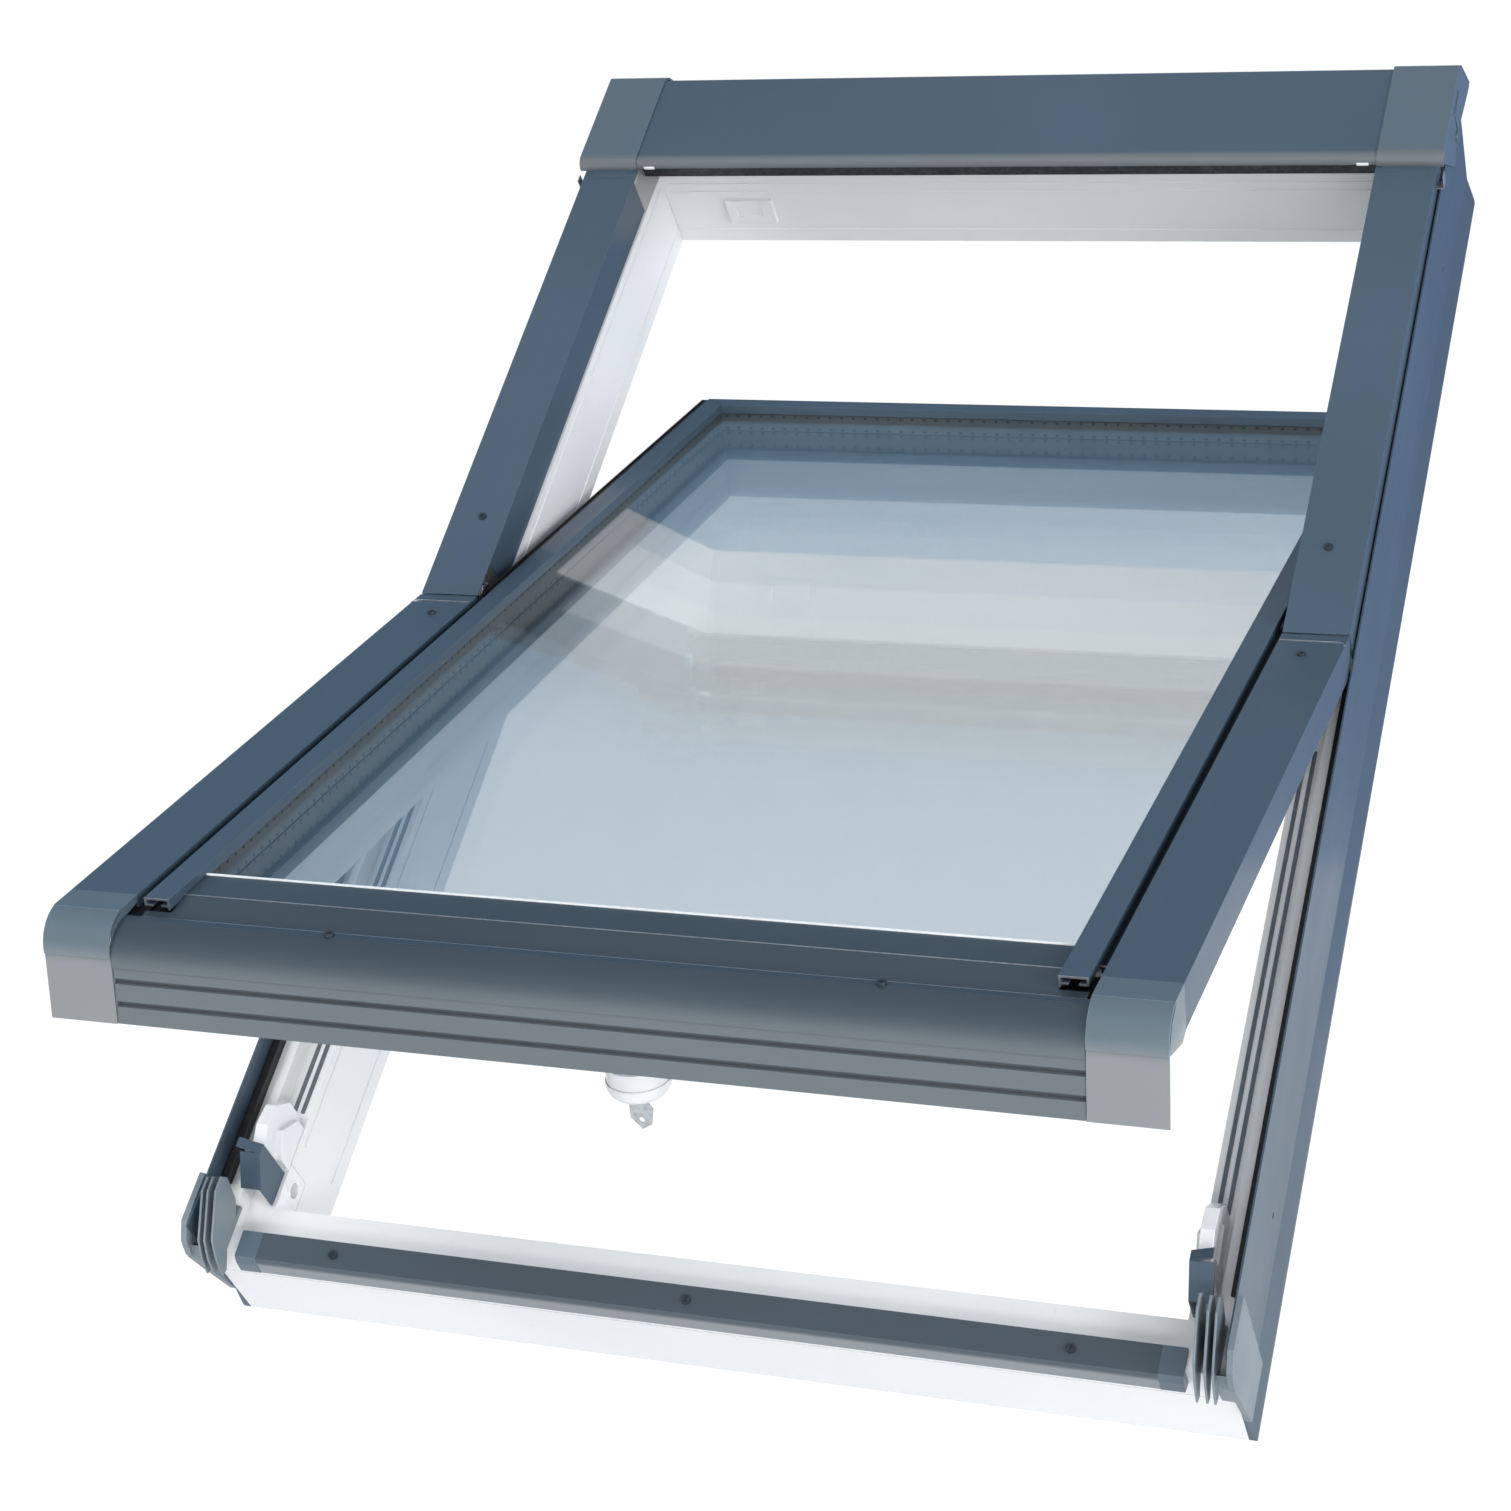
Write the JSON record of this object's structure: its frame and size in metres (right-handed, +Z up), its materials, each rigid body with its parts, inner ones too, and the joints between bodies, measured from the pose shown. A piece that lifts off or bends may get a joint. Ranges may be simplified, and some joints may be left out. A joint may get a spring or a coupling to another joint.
{
  "type": "roof skylight",
  "caption": "Centre-pivot roof window with white hollow-profile frame, blue-grey metal covers and a triple-glazed sash that stands open, with its handle, lock and key.",
  "frame": {"origin": "middle of the sill's outer face, 30.5 mm out from the back of the frame", "axes": "+X to the right as seen from outside the roof, +Y into the house (horizontal), +Z up; the window plane is pitched 45 degrees about X, so up the slope is (0, 0.707, 0.707) and out of the roof is (0, -0.707, 0.707)"},
  "size_m": [0.78, 1.1256, 0.949],
  "materials": {
    "white_profile": "smooth white extruded profile",
    "white_fittings": "moulded white plastic",
    "dark_cover": "blue-grey powder coat",
    "pale_cover": "lighter grey powder coat with a satin sheen",
    "guide_plastic": "grey moulded plastic",
    "dark_rail": "dark grey coated strip",
    "mesh": "fine olive mesh strip",
    "gasket": "matt black",
    "seal_lip": "blue-grey sealing lip with fine lines",
    "glass": "clear with a pale blue tint",
    "spacer": "satin bar with small perforations",
    "steel": "zinc-plated steel",
    "screw": "coated screw heads"
  },
  "bodies": {
    "frame": {"frame_head": "white_profile", "frame_sill": "white_profile", "frame_jamb_left": "white_profile", "frame_jamb_right": "white_profile", "reinforcements": "steel", "side_trim_left": "dark_cover", "side_trim_right": "dark_cover", "frame_gaskets": "gasket", "head_rail": "dark_rail", "vent_mesh": "mesh", "hood": "dark_cover", "hood_cap_left": "pale_cover", "hood_cap_right": "pale_cover", "hood_brackets": "steel", "upper_cover_left": "dark_cover", "upper_cover_right": "dark_cover", "frame_screws": "screw", "sill_cover": "dark_cover", "sill_end_left": "pale_cover", "sill_end_right": "pale_cover", "corner_guide_left": "guide_plastic", "corner_guide_right": "guide_plastic", "guide_bracket_left": "dark_cover", "guide_bracket_right": "dark_cover", "keeper_left": "white_fittings", "keeper_right": "white_fittings", "head_catch": "white_fittings", "frame_hinge_left": "steel", "frame_hinge_right": "steel"},
    "sash": {"sash_rail_top": "white_profile", "sash_rail_bottom": "white_profile", "sash_stile_left": "white_profile", "sash_stile_right": "white_profile", "pane_outer": "glass", "pane_middle": "glass", "pane_inner": "glass", "spacer_outer": "spacer", "spacer_inner": "spacer", "edge_seal": "gasket", "glazing_gasket": "seal_lip", "glazing_rail_left": "dark_cover", "glazing_rail_right": "dark_cover", "glazing_rail_top": "dark_cover", "glazing_strip_bottom": "dark_cover", "sash_gasket": "gasket", "sash_cover_left": "dark_cover", "sash_cover_right": "dark_cover", "sash_screws": "screw", "cap_left": "pale_cover", "cap_right": "pale_cover", "bottom_cover": "pale_cover", "sash_hinge_left": "steel", "sash_hinge_right": "steel", "gearbox": "steel", "handle_rose": "white_fittings"},
    "handle": {"handle_lever": "white_fittings"},
    "lock_plug": {"lock_plug": "steel"},
    "key": {"key": "steel"},
    "bolt_left": {"bolt_left": "steel"},
    "bolt_right": {"bolt_right": "steel"}
  },
  "joints": [
    {"name": "sash_pivot", "type": "hinge", "parent": "frame", "child": "sash", "pos_m": [0, 0.32774, 0.4925], "axis": [-1, 0, 0], "range_deg": [-30, 110]},
    {"name": "handle_turn", "type": "hinge", "parent": "sash", "child": "handle", "pos_m": [0, -0.13479, 0.24433], "axis": [0, -0.2588, 0.9659], "range_deg": [0, 90]},
    {"name": "lock_turn", "type": "hinge", "parent": "handle", "child": "lock_plug", "pos_m": [0, -0.1322, 0.23467], "axis": [0, -0.2588, 0.9659], "range_deg": [0, 90]},
    {"name": "key_pull", "type": "slide", "parent": "lock_plug", "child": "key", "axis": [0, 0.2588, -0.9659], "range_m": [0, 0.03]},
    {"name": "bolt_left_slide", "type": "slide", "parent": "sash", "child": "bolt_left", "axis": [-1, 0, 0], "range_m": [0, 0.0142]},
    {"name": "bolt_right_slide", "type": "slide", "parent": "sash", "child": "bolt_right", "axis": [1, 0, 0], "range_m": [0, 0.0142]}
  ],
  "couplings": [
    {"joint": "bolt_left_slide", "follows": "handle_turn", "m_per_rad": 0.0089},
    {"joint": "bolt_right_slide", "follows": "handle_turn", "m_per_rad": 0.0089}
  ]
}
